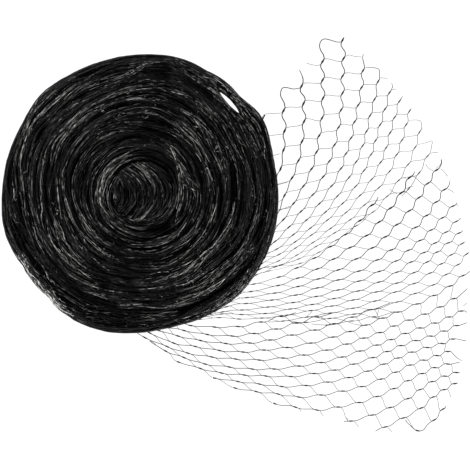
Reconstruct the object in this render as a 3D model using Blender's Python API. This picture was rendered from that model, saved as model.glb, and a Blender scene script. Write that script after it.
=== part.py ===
"""A roll of bird netting lying on its end face, with its free end fanned out beside it.

Metres, +Z up. The origin is on the roll's axis, on the flat underside that it lies on.
"""
import math

import bmesh
import bpy
import numpy as np

# Driving dimensions of the wound roll.
ROLL_HEIGHT = 0.070
EYE_RADIUS = 0.030
EYE_DEPTH = 0.004
EYE_RINGS = 4
EYE_RIDGE_WIDTH = 0.013
EYE_RIDGE_SHARE = 0.6
EYE_RIDGE_BOW = 11
WHOLE_TURNS = 9
RINGS_PER_TURN = 3
COLUMNS = 72
SEAM_ANGLE = math.radians(15)
GROOVE_DEPTH = 0.0025
TURN_UNEVENNESS = 0.001
UNEVEN_WAVES = 3
UNEVEN_SHIFT = 1.7
WALL_TOP = 0.060
WALL_TOP_INSET = 0.0008
SHOULDER_SLOPE = 1.6
WELD_DISTANCE = 0.00002

# How far the outermost wrap reaches from the axis, every 15 degrees from +X (millimetres).
REACH_STEP = 15
REACH_MM = [138, 140, 143, 141, 140, 140, 139, 138, 139, 139.5, 138, 137,
            138, 140, 139, 140.5, 144, 142, 140, 137.5, 140, 142, 141, 140]

# The outer wall from its top edge down: inset from the full reach, and height.
WALL_MM = [("inset", "height"),
           (0.8, 52),
           (0.0, 36),
           (0.6, 16),
           (3.0, 6),
           (7.0, 2),
           (12.0, 0)]

# The slot between the outermost wrap and the turns inside it.
SLOT_ANGLE = math.radians(45.6)
SLOT_RADIUS = 0.1265
SLOT_LENGTH = 0.025
SLOT_WIDTH = 0.0048
SLOT_STEPS = 8

# The loose end.
SHEET_THICKNESS = 0.0012
SHEET_INSET = 0.0075
SHEET_STEPS_OUT = 10
SHEET_STEPS_BETWEEN = 3
FOLD_START = 0.1
FOLD_FULLNESS = 0.75

# Strands that the fan follows, from its top edge round to its bottom edge (degrees, millimetres).
# root: angle where the strand leaves the roll; fold: how high the net is folded up along it.
STRANDS_MM = [("root", "mid_x", "mid_y", "end_x", "end_y", "fold"),
              (14, 142, 55, 142, 105, 0),
              (4, 154, 66, 160, 123, 0),
              (-7, 163, 54, 182, 154, 0),
              (-14, 174, 45, 204, 155, 0),
              (-20, 184, 36, 232, 130, 0),
              (-26, 194, 18, 260, 97, 0),
              (-31, 204, 2, 284, 67, 1),
              (-36, 230, -20, 304, 36, 5),
              (-42, 232, -38, 313, -3, 1),
              (-48, 228, -66, 322, -40, 0),
              (-53, 214, -90, 328, -74, 1),
              (-58, 226, -117, 334, -108, 5),
              (-64, 208, -138, 326, -138, 1),
              (-70, 186, -160, 318, -178, 0),
              (-76, 158, -176, 305, -214, 0),
              (-82, 128, -186, 278, -237, 0),
              (-87, 98, -186, 230, -236, 0),
              (-91, 68, -181, 163, -217, 0)]


def table_rows(table):
    """The rows of a table as dictionaries keyed by its named columns."""
    names = table[0]
    return [dict(zip(names, row)) for row in table[1:]]


def smooth_through(values, positions):
    """Catmull-Rom interpolation of evenly spaced values at fractional positions."""
    values = np.asarray(values, float)
    last = len(values) - 1
    base = np.clip(np.floor(positions).astype(int), 0, last - 1)
    t = positions - base
    before, after = values[np.clip(base - 1, 0, last)], values[np.clip(base + 2, 0, last)]
    start, end = values[base], values[base + 1]
    return start + 0.5 * t * (end - before + t * (2 * before - 5 * start + 4 * end - after
                                                 + t * (3 * (start - end) + after - before)))


def reach(angle):
    """How far the outermost wrap reaches from the axis at each angle (radians)."""
    pad = 3
    looped = np.concatenate([REACH_MM[-pad:], REACH_MM, REACH_MM[:pad]])
    position = np.round(np.degrees(angle) % 360, 9) % 360 / REACH_STEP + pad
    return smooth_through(looped, position) / 1000


def material(name, colour, roughness):
    """A Principled BSDF of one colour."""
    made = bpy.data.materials.new(name)
    made.use_nodes = True
    shader = made.node_tree.nodes["Principled BSDF"]
    shader.inputs["Base Color"].default_value = (*colour, 1)
    shader.inputs["Roughness"].default_value = roughness
    shader.inputs["Metallic"].default_value = 0
    return made


def new_object(name, mesh, finish):
    """An object of the mesh, linked to the scene, with one material."""
    made = bpy.data.objects.new(name, mesh)
    mesh.materials.append(finish)
    bpy.context.collection.objects.link(made)
    return made


def grid_point(ring, column):
    """Where a ring of the spiral grid crosses a column, on the wound top.

    Ring i after one revolution meets ring i + RINGS_PER_TURN, so the grooves run as one spiral. The
    outermost wrap narrows to nothing over the last revolution, where the net leaves the roll.
    """
    whole = WHOLE_TURNS * RINGS_PER_TURN
    share = column / COLUMNS
    angle = SEAM_ANGLE + 2 * math.pi * share
    turn = min(ring, whole) / RINGS_PER_TURN + share
    turn += max(ring - whole, 0) / RINGS_PER_TURN * (1 - share)
    outer = float(reach(angle)) - WALL_TOP_INSET
    outward = turn / (WHOLE_TURNS + 1)
    radius = EYE_RADIUS + (outer - EYE_RADIUS) * outward
    wave = math.sin(UNEVEN_WAVES * angle + UNEVEN_SHIFT * turn)
    height = ROLL_HEIGHT - TURN_UNEVENNESS * (1 + wave)
    if ring % RINGS_PER_TURN == 0:
        height -= GROOVE_DEPTH
    height = min(height, WALL_TOP + SHOULDER_SLOPE * (outer - radius))
    return radius * math.cos(angle), radius * math.sin(angle), height


def eye_height(x, y, rim_height, share):
    """Height in the eye: a hollow crossed by the folded start of the bundle."""
    ridge = math.exp(-((x + EYE_RIDGE_BOW * y * y) / EYE_RIDGE_WIDTH) ** 2)
    return rim_height - EYE_DEPTH * math.sqrt(1 - share) * (1 - EYE_RIDGE_SHARE * ridge)


def make_roll(finish):
    """The wound roll, as one closed mesh of its spiral top, its eye, its wall and its base."""
    build = bmesh.new()
    rings = (WHOLE_TURNS + 1) * RINGS_PER_TURN + 1
    grid = []
    for ring in range(rings):
        row = []
        for column in range(COLUMNS + 1):
            row.append(build.verts.new(grid_point(ring, column)))
        grid.append(row)
    for inner, outer in zip(grid, grid[1:]):
        for column in range(COLUMNS):
            corners = (inner[column], outer[column], outer[column + 1], inner[column + 1])
            build.faces.new(corners)

    # The eye's rim is the first ring and the step where the spiral starts.
    rim = grid[0][:COLUMNS] + [grid[ring][0] for ring in range(RINGS_PER_TURN, 0, -1)]
    loop = rim
    for step in range(1, EYE_RINGS):
        share = 1 - step / EYE_RINGS
        smaller = []
        for corner in rim:
            x, y = corner.co.x * share, corner.co.y * share
            smaller.append(build.verts.new((x, y, eye_height(x, y, corner.co.z, share))))
        join_loops(build, loop, smaller)
        loop = smaller
    middle_height = sum(corner.co.z for corner in loop) / len(loop)
    middle = build.verts.new((0, 0, middle_height))
    for corner, following in zip(loop, loop[1:] + loop[:1]):
        build.faces.new((corner, following, middle))

    # The wall and the flat base.
    loop = grid[-1][:COLUMNS]
    for row in table_rows(WALL_MM):
        lower = []
        for corner in grid[-1][:COLUMNS]:
            angle = math.atan2(corner.co.y, corner.co.x)
            radius = float(reach(angle)) - row["inset"] / 1000
            place = (radius * math.cos(angle), radius * math.sin(angle), row["height"] / 1000)
            lower.append(build.verts.new(place))
        join_loops(build, lower, loop)
        loop = lower
    build.faces.new(loop)

    bmesh.ops.remove_doubles(build, verts=build.verts, dist=WELD_DISTANCE)
    bmesh.ops.triangulate(build, faces=build.faces)
    bmesh.ops.recalc_face_normals(build, faces=build.faces)
    mesh = bpy.data.meshes.new("net_roll")
    build.to_mesh(mesh)
    build.free()
    mesh.shade_smooth()
    return new_object("net_roll", mesh, finish)


def join_loops(build, outer, inner):
    """Quads between two loops of as many corners."""
    count = len(outer)
    for index in range(count):
        following = (index + 1) % count
        build.faces.new((outer[index], outer[following], inner[following], inner[index]))


def cut_slot(roll):
    """Cut the lens-shaped slot between the outermost wrap and the turns inside it."""
    half, rise = SLOT_LENGTH / 2, SLOT_WIDTH / 2
    along = [half * math.cos(math.pi * step / SLOT_STEPS) for step in range(SLOT_STEPS + 1)]
    outline = [(rise * (1 - (x / half) ** 2), x) for x in along]
    outline += [(-across, x) for across, x in reversed(outline[1:-1])]
    build = bmesh.new()
    cos, sin = math.cos(SLOT_ANGLE), math.sin(SLOT_ANGLE)
    corners = []
    for across, tangent in outline:
        radius = SLOT_RADIUS + across
        x, y = radius * cos - tangent * sin, radius * sin + tangent * cos
        corners.append(build.verts.new((x, y, -ROLL_HEIGHT)))
    base = build.faces.new(corners)
    drawn = bmesh.ops.extrude_face_region(build, geom=[base])
    lifted = [item for item in drawn["geom"] if isinstance(item, bmesh.types.BMVert)]
    bmesh.ops.translate(build, verts=lifted, vec=(0, 0, 3 * ROLL_HEIGHT))
    bmesh.ops.recalc_face_normals(build, faces=build.faces)
    mesh = bpy.data.meshes.new("slot_cutter")
    build.to_mesh(mesh)
    build.free()
    cutter = bpy.data.objects.new("slot_cutter", mesh)
    bpy.context.collection.objects.link(cutter)
    cutter.hide_render = True
    cutter.display_type = "WIRE"
    cut = roll.modifiers.new("slot", "BOOLEAN")
    cut.operation = "DIFFERENCE"
    cut.solver = "EXACT"
    cut.object = cutter


def make_loose_end(finish):
    """The free end: a thin sheet that fans out from under the roll, folded up along two strands."""
    strands = table_rows(STRANDS_MM)
    spans = len(strands) - 1
    across = np.linspace(0, spans, spans * SHEET_STEPS_BETWEEN + 1)
    column = {name: smooth_through([row[name] for row in strands], across)
              for name in STRANDS_MM[0]}
    root_angle = np.radians(column["root"])
    root_radius = reach(root_angle) - SHEET_INSET
    root = np.stack([root_radius * np.cos(root_angle), root_radius * np.sin(root_angle)], -1)
    mid = np.stack([column["mid_x"], column["mid_y"]], -1) / 1000
    end = np.stack([column["end_x"], column["end_y"]], -1) / 1000

    # Each strand is a parabola through its root, its middle and its end.
    out = np.linspace(0, 1, SHEET_STEPS_OUT + 1)[:, None, None]
    flat = root * (1 - out) * (1 - 2 * out) + mid * 4 * out * (1 - out) + end * out * (2 * out - 1)
    fold = np.clip(column["fold"], 0, None) / 1000
    along = np.clip((out[..., 0] - FOLD_START) / (1 - FOLD_START), 0, 1)
    lift = fold * np.abs(np.sin(math.pi * along)) ** FOLD_FULLNESS
    rows, columns = lift.shape
    places = np.concatenate([flat, lift[..., None]], -1).reshape(-1, 3)
    index = np.arange(rows * columns).reshape(rows, columns)
    faces = np.stack([index[:-1, :-1], index[:-1, 1:], index[1:, 1:], index[1:, :-1]], -1)
    mesh = bpy.data.meshes.new("loose_end")
    mesh.from_pydata(places.tolist(), [], faces.reshape(-1, 4).tolist())
    mesh.shade_smooth()
    sheet = new_object("loose_end", mesh, finish)
    thicken = sheet.modifiers.new("thickness", "SOLIDIFY")
    thicken.thickness = SHEET_THICKNESS
    thicken.offset = 1
    return sheet


def main():
    for old in list(bpy.data.objects):
        bpy.data.objects.remove(old, do_unlink=True)
    wound = material("wound polypropylene net", (0.012, 0.012, 0.011), 0.45)
    loose = material("loose polypropylene net", (0.015, 0.015, 0.014), 0.45)
    roll = make_roll(wound)
    cut_slot(roll)
    make_loose_end(loose)


main()
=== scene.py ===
import math
import bpy
import numpy as np
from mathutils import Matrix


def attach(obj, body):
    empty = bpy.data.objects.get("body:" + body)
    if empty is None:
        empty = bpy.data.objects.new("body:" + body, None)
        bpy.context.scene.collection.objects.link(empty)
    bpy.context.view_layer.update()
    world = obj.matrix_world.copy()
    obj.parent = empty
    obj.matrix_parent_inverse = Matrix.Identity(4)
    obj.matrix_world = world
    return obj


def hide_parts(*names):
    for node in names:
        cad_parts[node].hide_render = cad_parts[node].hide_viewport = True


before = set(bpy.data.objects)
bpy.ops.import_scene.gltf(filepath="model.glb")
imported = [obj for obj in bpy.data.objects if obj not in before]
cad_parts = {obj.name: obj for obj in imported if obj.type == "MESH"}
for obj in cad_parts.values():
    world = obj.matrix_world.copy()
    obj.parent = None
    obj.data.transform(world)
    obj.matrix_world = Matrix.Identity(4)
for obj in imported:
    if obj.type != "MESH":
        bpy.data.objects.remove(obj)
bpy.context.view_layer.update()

rng = np.random.default_rng(11)
mm = 0.001
fullTurn = 2 * math.pi


cameraView = dict(centre=(95.0, -42.0), frameWidth=470.0, lens=460.0, sensor=36.0)


def placeCamera(view):
    # straight down; distance = frame width * lens / sensor width
    lens = bpy.data.cameras.new("camera")
    lens.lens = view["lens"]
    lens.sensor_width = view["sensor"]
    lens.clip_end = 200
    camera = bpy.data.objects.new("camera", lens)
    height = view["frameWidth"] * mm * view["lens"] / view["sensor"]
    camera.location = (view["centre"][0] * mm, view["centre"][1] * mm, height)
    bpy.context.collection.objects.link(camera)
    bpy.context.scene.camera = camera


placeCamera(cameraView)
print("camera placed")


def loftRings(rings):
    # rings: strands x rings x corners x 3, each ring anticlockwise about the way the rings go
    count, length, corners = rings.shape[:3]
    index = np.arange(count * length * corners).reshape(count, length, corners)
    beside = np.roll(index, -1, axis=2)
    quads = np.stack([index[:, :-1], beside[:, :-1], beside[:, 1:], index[:, 1:]], -1)
    caps = np.concatenate([index[:, 0, ::-1], index[:, -1]])
    return rings.reshape(-1, 3), [quads.reshape(-1, 4), caps]


def sweepTubes(paths, radii, sides):
    # ring point = centre + radius * (cos a * sideways + sin a * over), a = 360 k / sides
    # sideways = tangent x up, over = tangent x sideways
    tangent = np.gradient(paths, axis=1)
    tangent /= np.linalg.norm(tangent, axis=2, keepdims=True) + 1e-12
    sideways = np.cross(tangent, (0.0, 0.0, 1.0))
    sideways /= np.linalg.norm(sideways, axis=2, keepdims=True) + 1e-12
    over = np.cross(tangent, sideways)
    angles = fullTurn * np.arange(sides)[:, None] / sides
    spokes = np.cos(angles) * sideways[:, :, None] + np.sin(angles) * over[:, :, None]
    return loftRings(paths[:, :, None] + radii[:, :, None, None] * spokes)


def tubeChunk(paths, radii, sides, tones):
    # tones: one shade number for each strand, or one for each of its rings
    points, faces = sweepTubes(paths, radii, sides)
    tones = np.asarray(tones, float).reshape(len(paths), -1)
    strand = np.arange(len(paths)) * 0.618 % 1
    return (points, faces, np.repeat(np.broadcast_to(tones, paths.shape[:2]), sides),
            np.repeat(strand, paths.shape[1] * sides))


def newPiece(name, chunks, finish, node="net_roll"):
    # one mesh from the chunks; a chunk is its points (mm), face arrays, shades and strand numbers
    points = np.concatenate([chunk[0] for chunk in chunks]) * mm
    loops, sizes, offset = [], [], 0
    for chunk in chunks:
        for faces in chunk[1]:
            loops.append((faces + offset).ravel())
            sizes.append(np.full(len(faces), faces.shape[1]))
        offset += len(chunk[0])
    loops, sizes = np.concatenate(loops), np.concatenate(sizes)
    mesh = bpy.data.meshes.new(name)
    mesh.vertices.add(len(points))
    mesh.vertices.foreach_set("co", points.ravel())
    mesh.loops.add(len(loops))
    mesh.loops.foreach_set("vertex_index", loops)
    mesh.polygons.add(len(sizes))
    mesh.polygons.foreach_set("loop_start", np.concatenate([[0], np.cumsum(sizes)[:-1]]))
    mesh.polygons.foreach_set("use_smooth", np.ones(len(sizes), bool))
    for column, attribute in ((2, "shade"), (3, "strand")):
        values = mesh.attributes.new(attribute, "FLOAT", "POINT")
        values.data.foreach_set("value", np.concatenate([chunk[column] for chunk in chunks]))
    mesh.update(calc_edges=True)
    mesh.materials.append(finish)
    piece = bpy.data.objects.new(name, mesh)
    bpy.context.collection.objects.link(piece)
    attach(piece, "root")
    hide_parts(node)
    print(name, "has", int((sizes - 2).sum()), "triangles")


def catmullRom(points, places):
    # s + t/2 (e - b + t (2b - 5s + 4e - a + t (3(s - e) + a - b))), between points s and e
    last = len(points) - 1
    base = np.clip(np.floor(places).astype(int), 0, last - 1)
    t = (places - base).reshape((-1,) + (1,) * (points.ndim - 1))
    before, start, end, after = (points[np.clip(base + k, 0, last)] for k in (-1, 0, 1, 2))
    bend = 2 * before - 5 * start + 4 * end - after + t * (3 * (start - end) + after - before)
    return start + 0.5 * t * (end - before + t * bend)


def readAt(places, values, wanted):
    # each column of values, known at the places, read in straight runs at the wanted ones
    return np.stack([np.interp(wanted, places, axis) for axis in values.T], -1)


def evenCurve(points, step):
    # a smooth curve through the points, read every step along its length
    points = np.asarray(points, float)
    curve = catmullRom(points, np.linspace(0, len(points) - 1, len(points) * 24))
    travelled = np.cumsum(np.linalg.norm(np.diff(curve, axis=0, prepend=curve[:1]), axis=1))
    places = np.arange(0, travelled[-1], step)
    return places, readAt(travelled, curve, places)


def linearColour(hexText):
    # c / 12.92 up to 0.04045, else ((c + 0.055) / 1.055) ^ 2.4
    parts = [int(hexText[k:k + 2], 16) / 255 for k in (1, 3, 5)]
    return [c / 12.92 if c <= 0.04045 else ((c + 0.055) / 1.055) ** 2.4 for c in parts] + [1.0]


def addNode(tree, kind, inputs=None, links=None, **settings):
    # one node with its settings, its inputs' own values and the sockets that feed it
    node = tree.nodes.new(kind)
    for name, value in settings.items():
        setattr(node, name, value)
    for socket, value in (inputs or {}).items():
        node.inputs[socket].default_value = value
    for socket, source in (links or {}).items():
        tree.links.new(source, node.inputs[socket])
    return node


def polymerFinish(name, look):
    # Extruded and drawn polypropylene, carbon black filled: near black, glossy along the drawn
    # strands, dusty grey where it is thin or scuffed, and pale as painted highlight where the strands
    # would catch the light. shade is the strand's own number, 0 to 1.
    finish = bpy.data.materials.new(name)
    finish.use_nodes = True
    tree = finish.node_tree
    tree.nodes.clear()
    shade = addNode(tree, "ShaderNodeAttribute", attribute_name="shade")
    strand = addNode(tree, "ShaderNodeAttribute", attribute_name="strand")
    place = addNode(tree, "ShaderNodeTexCoord")
    # scuffs and painted glint dashes a few millimetres long, in other places on each strand
    ownPlace = addNode(tree, "ShaderNodeMath", {1: 60.0}, {0: strand.outputs["Fac"]},
                       operation="MULTIPLY")
    patches = addNode(tree, "ShaderNodeTexNoise", {"Scale": 1 / look["scuffAndGlintSize"], "Detail": 1.0},
                      {"Vector": place.outputs["Object"], "W": ownPlace.outputs[0]},
                      noise_dimensions="4D")
    scuffsAndGlints = addNode(tree, "ShaderNodeMapRange",
                     {"From Min": 0.40, "From Max": 0.66, "To Min": 0.12, "To Max": 1.0},
                     {"Value": patches.outputs["Fac"]})
    # drawn skin, a few tenths of a millimetre, drawn at 0.6 mm so that it shows
    skin = addNode(tree, "ShaderNodeTexNoise", {"Scale": 1 / look["skinSize"], "Detail": 2.0},
                   {"Vector": place.outputs["Object"]})
    mixed = addNode(tree, "ShaderNodeMath", links={0: shade.outputs["Fac"], 1: scuffsAndGlints.outputs["Result"]},
                    operation="MULTIPLY")
    tint = addNode(tree, "ShaderNodeValToRGB", links={"Fac": mixed.outputs[0]})
    for index, (position, colour) in enumerate(((0.08, look["dark"]), (0.75, look["pale"]))):
        tint.color_ramp.elements[index].position = position
        tint.color_ramp.elements[index].color = linearColour(colour)
    # roughness falls from dull to glossy as shade times the scuff and glint noise rises, so that the pale
    # streaks, which are partly painted highlight, shine
    dull = addNode(tree, "ShaderNodeMapRange",
                   {"To Min": look["dull"], "To Max": look["glossy"], "From Min": 0.05, "From Max": 0.5},
                   {"Value": mixed.outputs[0]})
    bump = addNode(tree, "ShaderNodeBump", {"Strength": 0.35, "Distance": look["bumpDepth"]},
                   {"Height": skin.outputs["Fac"]})
    shader = addNode(tree, "ShaderNodeBsdfPrincipled",
                     {"IOR": 1.49, "Specular IOR Level": look["gloss"]},
                     {"Base Color": tint.outputs["Color"], "Roughness": dull.outputs["Result"],
                      "Normal": bump.outputs["Normal"]})
    addNode(tree, "ShaderNodeOutputMaterial", links={"Surface": shader.outputs["BSDF"]})
    return finish


# the pale end is dust and scuff on the strands and also painted highlight standing in for their glints
netLook = dict(scuffAndGlintSize=0.0048, skinSize=0.0006, dark="#020202", pale="#a2a2a0",
               glossy=0.18, dull=0.45, bumpDepth=0.00005, gloss=0.28)
# the packed core is painted near black and matte as the shade deep between the strands
deepShadeLook = dict(netLook, dark="#010101", pale="#030303", glossy=0.5, dull=0.7, gloss=0.03)
# the under strands are painted darker than the top ones as the shade they lie in
underShadeLook = dict(netLook, dark="#010101", pale="#101010", glossy=0.35, dull=0.60, gloss=0.05)
# frayed fibres and collapsed links: the pale end is scuffed fray and also painted glint where they catch
# the light
frayGlintLook = dict(netLook, scuffAndGlintSize=0.004, dark="#040404", pale="#dcdcda", glossy=0.30, dull=0.50,
                gloss=0.25)
strandLook = dict(netLook, pale="#161615", glossy=0.35, dull=0.55, gloss=0.25)
linkLook = dict(netLook, dark="#111110", pale="#30302e", glossy=0.42, dull=0.6, gloss=0.25)
woundFinish = polymerFinish("extrudedPolypropylene", netLook)
deepShadeFinish = polymerFinish("packedPolypropylenePaintedShade", deepShadeLook)
underShadeFinish = polymerFinish("woundPolypropylenePaintedShade", underShadeLook)
frayGlintFinish = polymerFinish("frayedPolypropyleneWithPaintedGlints", frayGlintLook)
looseFinish = polymerFinish("drawnPolypropyleneStrand", strandLook)
linkFinish = polymerFinish("thinPolypropyleneLink", linkLook)
print("materials ready")


roll = dict(eyeRadius=30.0, turns=10, seam=math.radians(15), rimInset=0.8, top=67.2,
            shoulder=60.0, shoulderSlope=1.6, groove=5.0, grooveSwing=2.2, firstTurn=-0.35,
            shiftFrom=3, shiftOver=6, slotAngle=math.radians(44.9), slotHalf=19.5, slotOpen=2.6,
            slotSpread=0.2, slotBand=(0.02, 0.98), edgeBand=(-0.2, 1.2), waveFade=0.7, grooveTwist=4.3,
            eyeFall=2.5, eyeFallTurns=1.1, bundleRise=0.9, bundleSink=5.5)
# waves: size, how many in a round, how far they turn with each wrap, start
windingWaves = [(0.15, 2, 0.9, 0.0), (0.07, 3, -2.1, 1.0), (0.045, 7, 3.7, 0.0)]  # sizes in wraps
topWaves = [(1.3, 3, 1.7, 0.0), (0.9, 7, -2.3, 0.0)]
# how far the outermost wrap reaches from the axis, every 15 degrees from +X
reachTable = np.array([137.2, 136.8, 141.8, 139.8, 138.5, 138.5, 136.2, 135, 135.2, 137.3, 134.2,
                       134.5, 135.5, 138.2, 136.8, 137.3, 141, 141.2, 138.2, 136.6, 138.8, 140.5,
                       139.5, 138.8])
# radius of the last wrap's inner edge, every 15 degrees from the seam round to it again
lastWrap = np.array([125.4, 125.6, 126.6, 129.7, 133.3, 128.6, 124.9, 123.7, 123.5, 124.4, 122.5, 118.6,
                     117.3, 117.5, 118.6, 118.8, 117.9, 118.1, 120.4, 124.0, 126.7, 130.7, 133.6,
                     135.2, 136.0])
# hollows in the top: x, y, radius, depth
hollows = [(27, 118, 13, 5.0), (28, 21, 9, 5.0), (25, -34, 8, 4.0), (47, -21, 8, 4.0),
           (7, -42, 13, 4.0), (-18, -6, 6, 2.5), (92, -76, 9, 3.0)]
# short dents in the outline: angle, half width in degrees, depth
dents = [(42.8, 5.5, 2.6), (61, 3.0, 0.8), (212, 2.5, 1.2), (229, 2.5, 1.6), (240, 2.0, 0.8)]


def turnsFrom(angle, centre):
    # signed angle from centre, -180 to 180 degrees
    return (angle - centre + math.pi) % fullTurn - math.pi


def reach(angle):
    # a smooth curve through reachTable, less depth * exp(-(angle off / half width)^2) of each dent
    padded = np.concatenate([reachTable[-3:], reachTable, reachTable[:4]])
    places = np.degrees(angle).ravel() % 360 / 15 + 3
    outline = catmullRom(padded, places).reshape(np.shape(angle))
    for middle, half, depth in dents:
        off = turnsFrom(angle, math.radians(middle)) / math.radians(half)
        outline = outline - depth * np.exp(-off ** 2)
    return outline


def waveSum(waves, angle, turn):
    # sum of size * sin(times * angle + twist * turn + start)
    return sum(size * np.sin(times * angle + twist * turn + start)
               for size, times, twist, start in waves)


def evenRadius(outward, outer):
    # eye + (reach - eye) * outward / turns; the outline's bumps fade inwards as (outward / turns)^2
    rounded = reachTable.mean() + (outer - reachTable.mean()) * (outward / roll["turns"]) ** 2
    return roll["eyeRadius"] + (rounded - roll["eyeRadius"]) * outward / roll["turns"]


def edgeShift(turn):
    # how far a wrap's inner edge lies off the even winding: lastWrap less evenRadius in the last
    # turn, and less and less of that in the turns inside it
    part = turn % 1
    outer = reach(roll["seam"] + fullTurn * part) - roll["rimInset"]
    last = catmullRom(lastWrap, (part * (len(lastWrap) - 1)).ravel()).reshape(np.shape(turn))
    share = np.clip((turn - roll["shiftFrom"]) / roll["shiftOver"], 0, 1) * (turn < roll["turns"])
    return (last - evenRadius(roll["turns"] - 1 + part, outer)) * share


def woundPlace(turn, across):
    # turn: distance along the winding in whole turns, from the eye; across: 0 inner, 1 outer edge
    # radius = evenRadius(turn + across + slow waves) + the shifts of the wrap's two edges
    angle = roll["seam"] + fullTurn * turn
    away = turnsFrom(angle, roll["slotAngle"])
    bySlot = np.exp(-(away / roll["slotSpread"]) ** 2)
    across = across + (np.clip(across, *roll["slotBand"]) - across) * bySlot
    outward = np.minimum(turn + across * np.clip(roll["turns"] - turn, 0.0, 1.0), roll["turns"])
    outward = np.maximum(outward, roll["firstTurn"])
    fade = np.sin(math.pi * np.clip(outward / roll["turns"], 0, 1)) ** roll["waveFade"]
    drift = fade * waveSum(windingWaves, angle, outward)
    drift += eye["aside"] / eye["wrap"] * np.cos(angle) * np.exp(-(outward / eye["asideFades"]) ** 2)
    outer = reach(angle) - roll["rimInset"]
    radius = evenRadius(outward + drift, outer)
    share = np.clip(across, *roll["edgeBand"])
    last = roll["turns"] - 1
    radius += (1 - share) * edgeShift(turn) + share * np.where(turn > last, 0, edgeShift(turn + 1))
    radius = np.minimum(radius, outer)
    # the slot: the wrap's inner edge goes out and the outer part of the turn inside it goes in, both
    # by slotOpen * (1 - (x / half)^2)
    lens = np.clip(1 - (away * radius / roll["slotHalf"]) ** 2, 0, 1) * roll["slotOpen"]
    radius += np.where(turn > last, lens * (1 - across), 0)
    inside = (turn > last - 1) & (turn <= last)
    radius -= np.where(inside, lens * np.clip(across * 1.6 - 0.6, 0, 1), 0)
    return angle, radius, outer


def crownHeight(turn, across, angle, radius, outer):
    # top + waves - groove * (1 - sin(180 across)^0.6) - fall by the eye + bundles - hollows, up to the
    # shoulder's slope
    top = roll["top"] + waveSum(topWaves, angle, turn)
    swing = np.sin(roll["grooveTwist"] * turn + 0.5 * np.sin(2 * angle))
    groove = roll["groove"] + roll["grooveSwing"] * swing
    height = top - groove * (1 - np.abs(np.sin(math.pi * across)) ** 0.6)
    height -= roll["eyeFall"] * np.exp(-(np.maximum(turn, 0) / roll["eyeFallTurns"]) ** 2)
    x, y = radius * np.cos(angle), radius * np.sin(angle)
    raised = bundleAt(x, y)
    height += np.where(raised > 0, roll["bundleRise"], roll["bundleSink"]) * raised - hollowDepth(x, y)
    limit = roll["shoulder"] + roll["shoulderSlope"] * (outer - radius)
    return np.minimum(height, limit)
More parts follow.
